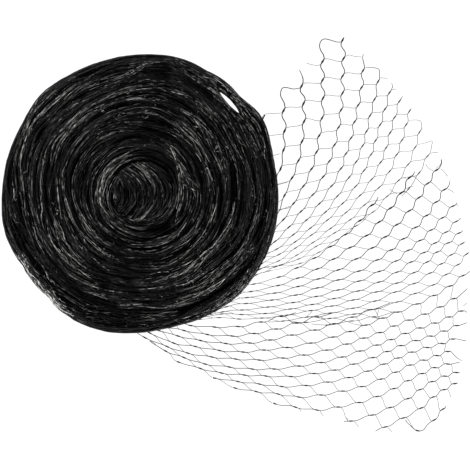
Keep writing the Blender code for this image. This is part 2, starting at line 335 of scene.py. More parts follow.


# bundles of strands that stand up, scuffed and painted pale as highlight, and grooves (below nought)
# that are sunk and painted dark as shade: weight, half width, points of the line
bundles = [
    (0.35, 7, [(-96, 38), (-101, 20), (-103, 2)]),
    (-0.35, 4, [(80, 109), (92, 99.5), (101, 90), (108, 81)]),
    (1, 4, [(-66, 99), (-78, 93), (-88, 86), (-98, 77)]),
    (0.6, 3.5, [(-100, 75), (-108, 66), (-114, 50), (-118, 36)]),
    (0.7, 4, [(-56, 103), (-38, 109), (-21, 117), (-7, 122), (7, 125)]),
    (0.4, 2.5, [(7, 128), (21, 130), (36, 130), (51, 122), (66, 110), (76, 101)]),
    (0.8, 6, [(-35, 84), (-46, 81), (-56, 74), (-66, 67)]), (0.45, 7, [(-68, 64), (-76, 56), (-86, 46)]),
    (0.5, 6, [(-37, 57), (-47, 49), (-55, 34)]),
    (1.5, 5, [(-9, 35), (-21, 28), (-29, 18), (-34, 4), (-35, -10)]),
    (0.5, 5, [(-40, 2), (-44, 17), (-38, 32), (-27, 42), (-9, 49)]), (0.6, 3.5, [(-8, 22), (-1, 12)]),
    (0.4, 6, [(2, 25), (8, 16)]), (0.65, 4, [(31, 46), (39, 34), (47, 19)]),
    (0.9, 5, [(37, 65), (51, 52), (63, 34), (73, 16)]), (0.8, 5, [(48, 70), (60, 58), (72, 45), (81, 26)]),
    (0.7, 5, [(60, 87), (73, 74), (79, 66)]), (0.8, 4, [(103, 78), (112, 62), (118, 40)]),
    (0.6, 6, [(93, 59), (101, 42)]), (0.5, 5, [(86, 82), (92, 70)]), (0.5, 5, [(-111, 36), (-110, 16)]),
    (0.35, 4, [(-118, 27), (-119, 2), (-116, -25), (-105, -55)]), (0.5, 5, [(90, 40), (95, 20)]),
    (1, 5, [(-79, 9), (-82, -2), (-82, -13)]),
    (0.6, 5, [(-81, -17), (-78, -39), (-72, -57), (-60, -79), (-48, -91)]),
    (0.6, 4, [(-46, -94), (-36, -103)]), (1.1, 4.5, [(-102, -15), (-96, -32), (-88, -47)]),
    (0.6, 5, [(-88, -47), (-78, -65), (-66, -80)]), (0.5, 5, [(-70, -7), (-68, -23)]),
    (0.6, 5, [(-66, -45), (-58, -57)]), (1.1, 4.5, [(-56, -13), (-51, -33), (-44, -47), (-35, -57)]),
    (0.9, 4.5, [(-20, -20), (-11, -28), (2, -29)]), (0.8, 4, [(7, -28), (23, -19), (33, -10)]),
    (0.5, 4, [(-42, -13), (-31, -31), (-11, -42)]), (0.7, 4, [(3, -55), (21, -53), (34, -47)]),
    (1, 4, [(37, -54), (48, -47), (56, -38)]), (0.8, 7, [(52, -71), (64, -59), (72, -47)]),
    (0.5, 6, [(21, -86), (43, -79), (56, -69)]), (0.7, 5, [(41, -94), (60, -86), (74, -70)]),
    (0.9, 4.5, [(92, -80), (103, -67), (113, -54)]), (1.2, 4.5, [(43, -109), (60, -101), (76, -91)]),
    (0.7, 5, [(7, -126), (29, -116), (45, -109)]),
    (0.7, 4, [(72, -117), (88, -106), (102, -94), (114, -78)]),
    (0.5, 3, [(41, 22), (44, 2), (40, -15), (37, -29)]), (0.45, 3, [(60, 6), (62, -13), (60, -29)]),
    (0.45, 5, [(115, 2), (117, -22)]), (0.4, 4, [(88, -17), (92, -32), (88, -45)]),
    (0.4, 5, [(-43, 97), (-19, 103), (11, 105)]), (0.5, 3.5, [(-5, 93), (11, 95), (26, 93)]),
    (0.4, 4, [(-38, 52), (-21, 64), (1, 70)]), (0.4, 3.5, [(-127, -19), (-123, -29), (-124, -41)]),
    (-0.6, 3.5, [(46, 129), (60, 122.5), (76, 111), (88, 101)]),
    (-0.3, 4, [(-56, 116), (-36, 124), (-12, 130)]), (-1, 6, [(11, 119), (33, 115), (55, 107), (72, 97)]),
    (-0.8, 5, [(114, 84), (120, 74), (123, 64)]),
    (-1, 3.5, [(122, -29), (117, -57), (105, -75), (88, -91), (66, -106), (41, -118)]),
    (-0.8, 4.5, [(-120, -33), (-111, -53)]), (-0.7, 4, [(-82, -71), (-58, -98), (-35, -111), (3, -118)]),
    (-0.8, 9, [(-41, -69), (-31, -88)]), (-0.6, 8, [(-11, -75), (-5, -98)]),
    (-0.6, 4, [(-128, 30), (-129, -7)]), (-0.7, 4, [(-50, 20), (-51, -9)]),
    (-0.8, 4, [(-21, 49), (-7, 58), (11, 62), (33, 54)]), (-0.8, 5, [(11, -37), (29, -33), (41, -15)]),
    (-0.7, 4, [(76, 24), (82, 1), (81, -33)]), (-0.6, 7, [(100, -3), (102, -19)]),
    (-0.7, 7, [(37, 74), (52, 88)]), (-0.6, 8, [(21, 32), (33, 16)]), (-0.6, 6, [(-98, 64), (-94, 52)]),
    (-0.5, 5, [(-86, 24), (-88, 10)]), (-0.5, 5, [(-94, -3), (-90, -23)]),
    (-0.6, 4, [(-21, 117), (-42, 103), (-58, 96)]),
]


def bundleAt(x, y):
    # sum of weight * exp(-(distance from the line / half width)^2)
    total = np.zeros(np.shape(x))
    for weight, half, line in bundles:
        line = np.array(line, float)
        way = np.diff(line, axis=0)
        off = np.stack([x, y], -1)[..., None, :] - line[:-1]
        share = np.clip((off * way).sum(-1) / (way ** 2).sum(-1), 0, 1)
        apart = ((off - share[..., None] * way) ** 2).sum(-1).min(-1)
        total += weight * np.exp(-apart / half ** 2)
    return total


def strandShade(paths, skew):
    # random^skew for each strand * (plain + weight * bundle weight there: scuff and painted highlight on
    # the bundles, painted shade in the grooves), less near the rim
    tones = rng.random(len(paths)) ** skew
    scuffAndPaintedLight = bundleAt(paths[..., 0], paths[..., 1])
    rim = np.clip((np.hypot(paths[..., 0], paths[..., 1]) - sheen["rimFrom"]) / sheen["rimOver"], 0, 1)
    shown = np.clip(sheen["plain"] + sheen["scuffAndPaintedLight"] * scuffAndPaintedLight, *sheen["range"])
    return tones[:, None] * shown * (1 - sheen["rimLoss"] * rim)


def hollowDepth(x, y):
    # sum of depth * exp(-(distance / radius)^2)
    spots = np.array(hollows, float)
    apart = (x[..., None] - spots[:, 0]) ** 2 + (y[..., None] - spots[:, 1]) ** 2
    return (spots[:, 3] * np.exp(-apart / spots[:, 2] ** 2)).sum(-1)


def polarPoints(angle, radius, height):
    # radius * cos(angle), radius * sin(angle), height
    return np.stack([radius * np.cos(angle), radius * np.sin(angle), height], -1)


sheen = dict(plain=0.48, scuffAndPaintedLight=0.85, range=(0.05, 2.0), skew=2.2, rimLoss=0.22, rimFrom=85.0,
             rimOver=12.0)
core = dict(step=5.5, sunk=1.6, firstTurn=0.0, lastTurn=9.95, gap=0.03, swell=0.7, outerFrom=8.6,
            outerOver=0.4, tuck=0.7, tone=0.3)
acrossRow = np.array([0.0, 0.08, 0.2, 0.35, 0.5, 0.65, 0.8, 0.92, 1.0])
wallRow = np.array([(52, 0.0), (36, 0.6), (16, 0.0), (6, -2.4), (2, -6.4), (0, -11.4)])  # height, bulge
innerRow = np.array([0.0, 14.0, 34.0, 52.0])


def coreChunk(rings):
    # a loft through the rings, all in the core's one shade
    points, faces = loftRings(rings[None])
    return points, faces, np.full(len(points), core["tone"]), np.zeros(len(points))


def packedRibbon():
    # one ribbon wound from the eye outwards; its section is a crown, two walls and a flat base
    turns = windingSteps(core["firstTurn"], core["lastTurn"], core["step"])
    across = core["gap"] + (1 - 2 * core["gap"]) * acrossRow
    turn, side = np.meshgrid(turns, across, indexing="ij")
    angle, radius, outer = woundPlace(turn, side)
    height = crownHeight(turn, side, angle, radius, outer) - core["sunk"]
    crown = polarPoints(angle, radius, height)
    width = radius[:, -1] - radius[:, 0]
    outermost = np.clip((turns - core["outerFrom"]) / core["outerOver"], 0, 1)
    bulge = wallRow[:, 1] * outermost[:, None]
    slotAway = np.abs(turnsFrom(angle[:, :1], roll["slotAngle"]) * radius[:, -1:])
    beside = (turns[:, None] > roll["turns"] - 2) & (slotAway < roll["slotHalf"])
    swollen = np.where(beside, 0.0, core["swell"])
    wallRadius = radius[:, -1:] + np.maximum(bulge, -core["tuck"] * width[:, None])
    wallRadius += swollen * (1 - outermost[:, None])
    wall = polarPoints(angle[:, :1], wallRadius, np.broadcast_to(wallRow[:, 0], wallRadius.shape))
    innerRadius = np.repeat(radius[:, :1] - swollen, len(innerRow), axis=1)
    inner = polarPoints(angle[:, :1], innerRadius, np.broadcast_to(innerRow, innerRadius.shape))
    return coreChunk(np.concatenate([crown, wall, inner], axis=1))


def wrapWidth():
    # (mean reach - eye) / turns
    return (reachTable.mean() - roll["eyeRadius"]) / roll["turns"]


def middleRadius(turn):
    # eye + wrap width * turn
    return roll["eyeRadius"] + wrapWidth() * turn


def windingSteps(start, end, step):
    # turns from start to end, about step millimetres apart: each is step / (2 pi radius) further
    turnsAt = np.linspace(roll["firstTurn"], roll["turns"], 260)
    perTurn = fullTurn * middleRadius(turnsAt) / step
    between = (perTurn[1:] + perTurn[:-1]) / 2 * np.diff(turnsAt)
    counted = np.concatenate([[0], np.cumsum(between)])
    first, last = np.interp([start, end], turnsAt, counted)
    return np.interp(np.linspace(first, last, int(last - first) + 2), counted, turnsAt)


# the folded start of the strip, seen in the eye as arcs; the eye's middle lies aside from the axis
eye = dict(columns=120, aside=3.4, wrap=10.7, asideFades=1.8, level=63.4, bow=0.026, bowAt=-2.0,
           ridge=1.7, spacing=10.5, ridgeAt=-3.0, hollow=0.6, seamLap=0.07, overlap=0.4,
           shares=[1.0, 0.92, 0.8, 0.66, 0.52, 0.38, 0.24, 0.1])


def arcShift(y):
    # bow * (y - bowAt)^2
    return eye["bow"] * (y - eye["bowAt"]) ** 2


def eyeSurface(x, y):
    # level + ridge * cos(360 (x + arc shift - ridgeAt) / spacing), less the hollows
    wave = np.cos(fullTurn * (x + arcShift(y) - eye["ridgeAt"]) / eye["spacing"])
    return eye["level"] + eye["ridge"] * wave - eye["hollow"] * hollowDepth(x, y)


def eyeCore():
    # rings from the winding's inner edge in to the middle, each a share of that edge's radius
    angle = fullTurn * np.arange(eye["columns"]) / eye["columns"]
    turn = (angle - roll["seam"] - eye["seamLap"]) % fullTurn / fullTurn + eye["seamLap"] / fullTurn
    rim = woundPlace(turn, np.zeros_like(turn))[1] + eye["overlap"]
    rings = [polarPoints(angle, rim, np.zeros_like(rim))]
    for share in eye["shares"]:
        x, y = rim * share * np.cos(angle), rim * share * np.sin(angle)
        rings.append(np.stack([x, y, eyeSurface(x, y) - core["sunk"]], -1))
    return coreChunk(np.stack(rings))


newPiece("packed_core", [packedRibbon(), eyeCore()], deepShadeFinish)


# share: of the full number of strands, in the turns that have more or fewer
wound = dict(locks=6, longest=330.0, mostOfTurn=0.9, lengths=(0.75, 1.1), step=4.6, lastStart=0.85,
             lastEnd=9.97, endSpread=0.02, share={-1: 0.8, 9: 1.15}, knotPitch=18.3, knot=0.38,
             wander=[(0.10, fullTurn / 118), (0.06, fullTurn / 47), (0.22, fullTurn / 310)],
             orbit=(0.5, 3.0), twist=(110, 240), wave=(0.1, 0.5), waveLength=(28, 80),
             flatness=0.5, liftSpread=0.7, dive=3.0, diveOver=12.0, endRadius=0.35, taperOver=6.0,
             sides=4)
# the strands lie in two layers: a full one painted dark as shade, and a thinner one that catches the light
underLayer = dict(lines=22, lift=-1.3, thin=0.45, thick=0.80)
topLayer = dict(lines=27, lift=0.35, thin=0.20, thick=0.44)


def strandRuns(settings, longest, count):
    # places along each strand, from 0 to its own share of the longest
    places = np.linspace(0, longest, int(longest / settings["step"]))
    return places[None] * rng.uniform(*settings["lengths"], (count, 1))


def lockWaves(settings, along, lock):
    # sum of size * sin(times * along + the lock's own random start)
    starts = rng.uniform(0, fullTurn, (len(settings["wander"]), settings["locks"]))[:, lock, None]
    return sum(size * np.sin(times * along + start)
               for (size, times), start in zip(settings["wander"], starts))


def ownPhase(along, lengths):
    # 360 along / a random length + a random start, for each strand
    each = (len(along), 1)
    return fullTurn * along / rng.uniform(*lengths, each) + rng.uniform(0, fullTurn, each)


def endDistance(along):
    # the lesser of along and the strand's length - along
    return np.minimum(along, along.max(axis=1, keepdims=True) - along)


def endDive(settings, along):
    # dive * (1 - end distance / diveOver)^2
    return settings["dive"] * (1 - np.clip(endDistance(along) / settings["diveOver"], 0, 1)) ** 2


def knottedRadius(along, radius):
    # radius * (1 + knot * cos(360 along / pitch + a random start)^6), thinned at both ends
    phase = rng.uniform(0, fullTurn, (len(along), 1))
    swell = np.clip(np.cos(fullTurn * along / wound["knotPitch"] + phase), 0, 1) ** 6
    inward = np.clip(endDistance(along) / wound["taperOver"], 0, 1)
    taper = wound["endRadius"] + (1 - wound["endRadius"]) * inward
    return radius * (1 + wound["knot"] * swell) * taper


def windTurn(whole, layer):
    # strands lie in locks that wander across the band: across = lock + waves + orbit * cos(twist)
    around = fullTurn * float(middleRadius(whole + 0.5))
    length = min(wound["mostOfTurn"] * around, wound["longest"])
    count = int(layer["lines"] * around / length * wound["share"].get(whole, 1.0))
    start = whole + rng.random(count)
    if whole == roll["turns"] - 1:  # the last turn's strands start in the first part of it
        start = whole + wound["lastStart"] * rng.random(count)
    along = strandRuns(wound, length, count)
    stop = wound["lastEnd"] - wound["endSpread"] * rng.random(count)
    turn = np.minimum(start[:, None] + along / around, stop[:, None])
    lock = rng.integers(0, wound["locks"], count)
    across = (lock[:, None] + 0.5) / wound["locks"] + lockWaves(wound, turn * around, lock)
    orbit = rng.uniform(*wound["orbit"], (count, 1))
    twist = ownPhase(along, wound["twist"])
    wave = rng.uniform(*wound["wave"], (count, 1)) * np.sin(ownPhase(along, wound["waveLength"]))
    across += (orbit * np.cos(twist) + wave) / wrapWidth()
    angle, radius, outer = woundPlace(turn, across)
    height = crownHeight(turn, across, angle, radius, outer)
    lift = rng.normal(layer["lift"], wound["liftSpread"], wound["locks"])[lock][:, None]
    height += lift + wound["flatness"] * orbit * np.sin(twist) - endDive(wound, along)
    radii = knottedRadius(along, rng.uniform(layer["thin"], layer["thick"], (count, 1)))
    paths = polarPoints(angle, radius, height)
    return tubeChunk(paths, radii, wound["sides"], strandShade(paths, sheen["skew"]))


for part, wholes in (("inner", range(-1, 6)), ("outer", range(6, 10))):
    newPiece("under_strands_" + part, [windTurn(whole, underLayer) for whole in wholes], underShadeFinish)
    newPiece("top_strands_" + part, [windTurn(whole, topLayer) for whole in wholes], woundFinish)


# strands round the outer wall, from the shoulder down to the rounded foot
wall = dict(locks=15, perLock=5, longest=300.0, lengths=(0.7, 1.1), step=5.5,
            wander=[(0.035, 3), (0.018, 8), (0.012, 17)], twist=(120, 240), orbit=(0.3, 1.0),
            spread=2.6, depth=72.0, stand=1.3, sunk=0.4, dive=1.6, diveOver=12.0, radius=(0.4, 0.7),
            liftedRadius=0.7, liftedTone=0.66, setBack=0.3, footFrom=4.0, crownFrom=60.0, turnOver=6.0,
            footLean=0.2, lowest=0.7)
wallProfile = np.array([(9.0, 67.3), (5.0, 67), (2.4, 64.3), (0.8, 60), (0.2, 52), (-0.2, 36),
                        (0.4, 16), (2.6, 6), (5.6, 2.4)])  # inset and height


def wallPlace(angle, down, proud):
    # down: 0 at the shoulder to 1 at the foot, along the profile; proud: distance off the wall, which
    # goes less outwards by the foot and also upwards by the crown
    runs = np.concatenate([[0], np.cumsum(np.hypot(*np.diff(wallProfile, axis=0).T))])
    inset = np.interp(down * runs[-1], runs, wallProfile[:, 0])
    height = np.interp(down * runs[-1], runs, wallProfile[:, 1])
    leanOut = np.clip((height - wall["footFrom"]) / wall["turnOver"], wall["footLean"], 1)
    leanUp = np.clip((height - wall["crownFrom"]) / wall["turnOver"], 0, 1)
    return polarPoints(angle, reach(angle) - inset + proud * leanOut - wall["setBack"],
                       np.maximum(height + proud * leanUp, wall["lowest"]))


def wallStrands(share, first, last, lift):
    # share: of the full number; first, last: how far down the profile they lie; lift: off the wall
    # down = lock + waves + orbit * cos(twist), proud = orbit * sin(twist)
    around = fullTurn * reachTable.mean()
    count = int(share * wall["locks"] * wall["perLock"] * around / wall["longest"])
    along = strandRuns(wall, wall["longest"], count)
    angle = rng.uniform(0, fullTurn, (count, 1)) + along / around * fullTurn
    lock = rng.integers(0, wall["locks"], count)
    down = first + (last - first) * (lock[:, None] + 0.5) / wall["locks"] + lockWaves(wall, angle, lock)
    twist = ownPhase(along, wall["twist"])
    orbit = rng.uniform(*wall["orbit"], (count, 1))
    down += orbit * wall["spread"] * np.cos(twist) / wall["depth"]
    proud = wall["stand"] * orbit * np.sin(twist) - wall["sunk"] + lift - endDive(wall, along)
    thickness = rng.uniform(*wall["radius"], (count, 1)) * (wall["liftedRadius"] if lift else 1.0)
    radii = knottedRadius(along, thickness)
    paths = wallPlace(angle, np.clip(down, 0, 1), proud)
    tones = strandShade(paths, sheen["skew"]) * (wall["liftedTone"] if lift else 1.0)
    return tubeChunk(paths, radii, wound["sides"], tones)


newPiece("wall_strands", [wallStrands(0.85, 0.24, 1.0, 0.0)], woundFinish)
newPiece("under_shoulder", [wallStrands(0.3, 0.04, 0.28, 0.0)], underShadeFinish)
newPiece("shoulder_strands", [wallStrands(0.25, 0.04, 0.26, 0.4)], woundFinish)


# strands of the folded start, along the arcs in the eye
eyeStrand = dict(count=300, steps=12, reach=30.5, length=(10, 40), drift=1.2, bends=5, rise=0.6,
                 dive=1.5, outerFall=1.6, fallFrom=2.0, fallOver=6.0, spill=5.0, radius=(0.4, 0.7),
                 thinning=0.5)


def eyeStrands(count, lift):
    # from a random place in the eye both ways along its arc: x = start - arc shift, with a small wave
    away = eyeStrand["reach"] * np.sqrt(rng.random((count, 1)))
    around = rng.uniform(0, fullTurn, (count, 1))
    x, y = away * np.cos(around) + eye["aside"], away * np.sin(around)
    start, run = x + arcShift(y), np.linspace(-0.5, 0.5, eyeStrand["steps"])[None]
    y = y + run * rng.uniform(*eyeStrand["length"], (count, 1))
    x = start - arcShift(y)
    bend = eyeStrand["bends"] * run + rng.uniform(0, fullTurn, (count, 1))
    x = x + eyeStrand["drift"] * np.sin(bend)
    beyond = np.hypot(x - eye["aside"], y) - eyeStrand["reach"] + eyeStrand["fallFrom"]
    off = np.maximum(np.hypot(x - eye["aside"], y) / (eyeStrand["reach"] + eyeStrand["spill"]), 1)
    x, y = eye["aside"] + (x - eye["aside"]) / off, y / off
    height = eyeSurface(x, y) + rng.normal(lift, eyeStrand["rise"], (count, 1))
    fall = eyeStrand["outerFall"] * np.clip(beyond, 0, eyeStrand["fallOver"])
    height -= eyeStrand["dive"] * np.abs(2 * run) ** 6 + fall
    radii = rng.uniform(*eyeStrand["radius"], (count, 1)) * (1 - eyeStrand["thinning"] * (2 * run) ** 8)
    paths = np.stack([x, y, height], -1)
    return tubeChunk(paths, radii, wound["sides"], strandShade(paths, sheen["skew"]))


newPiece("eye_under_strands", [eyeStrands(eyeStrand["count"], -0.9)], underShadeFinish)
newPiece("eye_top_strands", [eyeStrands(eyeStrand["count"] // 2, 0.4)], woundFinish)


# collapsed cross links; pitch and wrap are the distance between wraps, taken for places round the
# winding and for widths across it
linkRows = dict(pitch=10.9, wrap=11.0, lastTurn=9.95, rows=430, inRow=7, places=(0.004, 0.96),
                step=(1.8, 2.8), slant=(-0.9, 0.9), across=(0.08, 0.8), acrossJitter=0.03,
                forwardJitter=0.5, rimAcross=0.9, band=(0.02, 0.98), run=(0.8, 3.4), rise=(0.6, 2.2),
                radius=0.30, thickness=(0.7, 1.3), steps=5, sides=3, skew=2.6, lift=0.75, arch=0.5,
                slotShade=0.85, slotSpread=0.3, slotFrom=105.0)


def roundAt(turn):
    # once round the winding, in millimetres, that many turns out from the eye
    return fullTurn * (roll["eyeRadius"] + linkRows["pitch"] * turn)


def crossLinks():
    # short bowed threads, in rows across the strands where the cells have closed up: across and
    # turn both run evenly, height = crown + lift + arch * cos(180 run)
    rows, inRow, lastTurn = linkRows["rows"], linkRows["inRow"], linkRows["lastTurn"]
    turn = roll["turns"] * np.sqrt(rng.uniform(*linkRows["places"], (rows, 1)))
    step = np.arange(inRow)[None] * rng.uniform(*linkRows["step"], (rows, 1))
    across = rng.uniform(*linkRows["across"], (rows, 1)) + step / linkRows["wrap"]
    across = across + rng.normal(0, linkRows["acrossJitter"], (rows, inRow))
    forward = step * rng.uniform(*linkRows["slant"], (rows, 1))
    forward = forward + rng.normal(0, linkRows["forwardJitter"], (rows, inRow))
    turn = turn + np.floor(across)
    across = np.where(turn < lastTurn + 0.01, across % 1, linkRows["rimAcross"])
    around = roundAt(turn)
    turn = np.minimum(turn + forward / around, lastTurn).reshape(-1, 1)
    across, around = across.reshape(-1, 1), around.reshape(-1, 1)
    count, run = len(turn), np.linspace(-0.5, 0.5, linkRows["steps"])[None]
    ahead = rng.uniform(*linkRows["run"], (count, 1)) * rng.choice([-1, 1], (count, 1))
    rise = rng.uniform(*linkRows["rise"], (count, 1)) / linkRows["wrap"]
    across = np.clip(across + run * rise, *linkRows["band"])
    angle, radius, outer = woundPlace(turn + run * ahead / around, across)
    height = crownHeight(turn + 0 * run, across, angle, radius, outer)
    height += linkRows["lift"] + linkRows["arch"] * np.cos(math.pi * run)
    thickness = rng.uniform(*linkRows["thickness"], (count, 1))
    radii = np.full((count, linkRows["steps"]), linkRows["radius"]) * thickness
    paths = polarPoints(angle, radius, height)
    # painted shade where the slot squeezes them together
    away = turnsFrom(angle, roll["slotAngle"])
    beside = np.exp(-(away / linkRows["slotSpread"]) ** 2) * (radius > linkRows["slotFrom"])
    tones = strandShade(paths, linkRows["skew"]) * (1 - linkRows["slotShade"] * beside)
    return tubeChunk(paths, radii, linkRows["sides"], tones)


newPiece("stray_links", [crossLinks()], frayGlintFinish)


# stray fibres: those that lift off the winding, those off the shoulder, those that veil the slot and
# those that lie across the winding
fibre = dict(count=170, steps=22, sides=4, radius=0.22, lastTurn=9.6, length=(18, 60),
             across=(0.15, 0.85), slope=(-0.5, 0.5), wave=0.06, waves=(0.6, 1.8), band=(0.03, 0.97),
             lift=0.5, dive=1.2, tones=(0.3, 0.9), rimCount=380, rimSteps=14, rimRadius=0.25,
             rimTilt=0.05, rimStand=(0.5, 1.6), rimFullLength=14, rimSunk=0.2, rimWave=0.12,
             drawnSides=5, slotStep=2.5, slotRadius=0.26, slotTone=0.35, laidStep=1.5, laidRadius=0.2,
             laidLift=0.6, laidRise=0.9)


def strayFibres():
    # fibres that lift off the winding for a few centimetres and wander across it
    # across = start + slope * run + wave, height = crown + lift + sin(180 run), down at both ends
    count, run = fibre["count"], np.linspace(0, 1, fibre["steps"])[None]
    turn = fibre["lastTurn"] * np.sqrt(rng.uniform(0.01, 1, (count, 1)))
    turns = turn + run * rng.uniform(*fibre["length"], (count, 1)) / roundAt(turn)
    across = rng.uniform(*fibre["across"], (count, 1))
    across = across + rng.uniform(*fibre["slope"], (count, 1)) * (run - 0.5)
    waves = rng.uniform(*fibre["waves"], (count, 1))
    across += fibre["wave"] * np.sin(fullTurn * run * waves + 6 * across)
    across = np.clip(across, *fibre["band"])
    angle, radius, outer = woundPlace(turns, across)
    height = crownHeight(turns, across, angle, radius, outer)
    height += fibre["lift"] + np.sin(math.pi * run) - fibre["dive"] * np.abs(2 * run - 1) ** 6
    radii = np.full(height.shape, fibre["radius"])
    tones = rng.uniform(*fibre["tones"], count) ** 2
    return tubeChunk(polarPoints(angle, radius, height), radii, fibre["sides"], tones)


# fibres off the shoulder: share of them, middle angle, spread, length, how far down, tone; the high tones
# round 219 to 236 degrees paint highlight on fibres lit at the rim
rimPatches = [(0.07, 224, 10, (4, 14), (0.0, 0.13), (0.3, 1.9)),
              (0.06, 222, 10, (8, 24), (0.0, 0.13), (0.5, 2.6)),
              (0.035, 219, 8, (12, 36), (0.12, 0.22), (1.0, 2.5)),
              (0.035, 236, 4, (10, 28), (0.10, 0.22), (1.4, 3.4)),
              (0.20, 311, 10, (6, 34), (0.02, 0.24), (0.1, 0.7)),
              (0.06, 42, 9, (12, 28), (0.03, 0.22), (0.1, 0.6)),
              (0.20, 180, 110, (14, 60), (0.1, 0.45), (0.0, 0.5))]


def rimFibres():
    # they stand off the wall by proud * sin(180 run)^0.3, less for the short ones, with a small wave
    chunks = []
    for share, middle, spread, length, down, tones in rimPatches:
        count, run = int(fibre["rimCount"] * share), np.linspace(0, 1, fibre["rimSteps"])[None]
        centre = np.radians(rng.normal(middle, spread, (count, 1)))
        size = rng.uniform(*length, (count, 1))
        angle = centre + (run - 0.5) * size / reachTable.mean()
        drop = rng.uniform(*down, (count, 1))
        drop = drop + fibre["rimTilt"] * (run - 0.5) * rng.uniform(-1, 1, (count, 1))
        most = rng.uniform(*fibre["rimStand"], (count, 1)) * np.minimum(size / fibre["rimFullLength"], 1)
        proud = most * np.sin(math.pi * run) ** 0.3 - fibre["rimSunk"]
        proud += fibre["rimWave"] * np.sin(fullTurn * run * 2 + 40 * drop)
        radii = np.full(angle.shape, fibre["rimRadius"])
        paths = wallPlace(angle, np.clip(drop, 0, 1), proud)
        chunks.append(tubeChunk(paths, radii, fibre["sides"], rng.uniform(*tones, count)))
    return chunks


# fibres beside the slot: angle, radius, height of their points
slotFibres = [
    [(64, 130, 65), (57, 129.5, 67), (52, 127.5, 67.4), (48, 124, 67.2), (44.9, 122.4, 67), (41, 123.6, 67),
     (37, 125.4, 66.5), (31, 126, 66.5), (24, 126, 65)],
    [(60, 128, 65), (54, 127.2, 67), (49, 123.4, 67.2), (45, 121, 67), (40, 122, 67), (34, 124.4, 66),
     (27, 124.5, 65)],
    [(66, 132, 64), (59, 131.8, 66), (52, 130.4, 66), (48, 131.4, 66), (44.9, 132.2, 65.6), (41, 131, 66),
     (36, 128.6, 66), (29, 128, 65), (21, 127, 64)],
    [(56, 130, 65), (50, 130.2, 66.6), (45, 131, 66.6), (39, 129.6, 66.6), (33, 127, 66.2), (25, 128, 65)],
]
# fibres that lie across the winding, and a small loop of one: tone and x, y
laidFibres = [
    (0.55, [(30, 47), (36, 34), (40, 20), (42, 5), (41, -9), (38, -20), (36, -30)]),
    (0.55, [(33, 44), (39, 30), (43, 14), (44, -3), (40, -18), (38, -27)]),
    (0.55, [(28, 49), (34, 38), (38, 24), (40, 8), (39, -6), (37, -16)]),
    (0.55, [(42, 22), (49, 9), (53, 3), (57, -6)]), (0.55, [(44, 8), (50, 5), (57, 1)]),
    (0.55, [(45, 16), (52, 12), (60, 4)]),
    (0.38, [(2, 84), (6, 82), (9, 78), (8, 74), (4, 74), (4, 78), (7, 81), (12, 82)]),
    (0.45, [(-60, 99), (-48, 104.5), (-24, 112.5), (-9, 119.5), (6, 127), (16, 128.6)]),
    (0.4, [(-50, 101), (-30, 109), (-14, 115), (0, 122.5), (9, 126)]),
    (0.35, [(-34, 105), (-16, 112), (-2, 119), (5, 124)]),
    (0.4, [(2, 126.5), (20, 129), (34, 129.6), (38, 127.6), (45, 121), (59, 110.8), (70, 104), (80, 97)]),
    (0.35, [(36, 127), (44, 119.6), (58, 109.4), (69, 102.4), (79, 95.6)]),
    (0.5, [(52, 113.5), (63, 106.6), (74, 100), (83, 93.6)]),
]


def drawnFibres():
    # smooth curves through the points; those across the winding lie just above its surface
    chunks = []
    for points in slotFibres:
        angle, radius, height = np.array(points, float).T
        line = evenCurve(polarPoints(np.radians(angle), radius, height), fibre["slotStep"])[1][None]
        radii = np.full(line.shape[:2], fibre["slotRadius"])
        chunks.append(tubeChunk(line, radii, fibre["drawnSides"], np.array([fibre["slotTone"]])))
    for tone, points in laidFibres:
        x, y = evenCurve(points, fibre["laidStep"])[1].T
        inEye = np.hypot(x, y) < roll["eyeRadius"] + 1
        level = np.where(inEye, eyeSurface(x, y), roll["top"] - hollowDepth(x, y))
        raised = fibre["laidRise"] * np.clip(bundleAt(x, y), -1, 1)
        line = np.stack([x, y, level + fibre["laidLift"] + raised], -1)[None]
        radii = np.full(line.shape[:2], fibre["laidRadius"])
        chunks.append(tubeChunk(line, radii, fibre["drawnSides"], np.array([tone])))
    return chunks


newPiece("stray_fibres", [strayFibres()] + rimFibres() + drawnFibres(), frayGlintFinish)
print("roll wound")


# The loose end: each strand is a line of marks from its cut end in to the roll. It zigzags, and at
# each mark there is a short thick slanted bit with a joint at each end of it. The far joint joins a
# thin link to the near joint of the next strand clockwise.
net = dict(pitch=20.0, jointHalf=2.9, thickHalf=2.1, thickRadius=0.72, thinRadius=0.325, linkRadius=0.245,
           lean=0.06, endGap=6.0, lineStep=0.5, pathStep=1.0, step=1.4, sides=6, linkSides=5,
           linkSteps=10, longestLink=32.0, linkBow=0.45, bowShare=(0.4, 1.4), linkArch=0.5,
           linkSwell=0.4, leadStart=0.62, rootOver=120.0, offWall=0.5, floorWave=0.55, cutStep=1.5,
           cutLift=1.2)
# for the strands of each panel that panelPlaces numbers: zigzag, the share of it lost by the roll,
# thickness, and the share of the thickness left at the roll; for them all: height off the floor
panelPlaces = (1, 4, 6, 10)
panels = dict(up=dict(zigzag=(1.65, 1.6, 0.95, 0.8), fade=(1.0, 1.0, 1.0, 1.0),
                      weight=(1.84, 1.32, 1.12, 0.88), lift=0.9, rootShare=(0.73, 0.76, 0.72, 0.66)),
              mid=dict(zigzag=(1.15, 1.2, 0.9, 0.68), fade=(1.1, 1.2, 1.2, 1.1),
                       weight=(1.42, 1.12, 1.0, 0.86), lift=2.6, rootShare=(0.62, 0.80, 0.84, 0.86)),
              low=dict(zigzag=(0.92, 0.88, 0.95, 1.05), fade=(1.0, 0.9, 0.5, 0.1),
                       weight=(1.04, 1.0, 1.0, 1.06), lift=1.3, rootShare=(1.0, 1.0, 1.0, 1.0)))
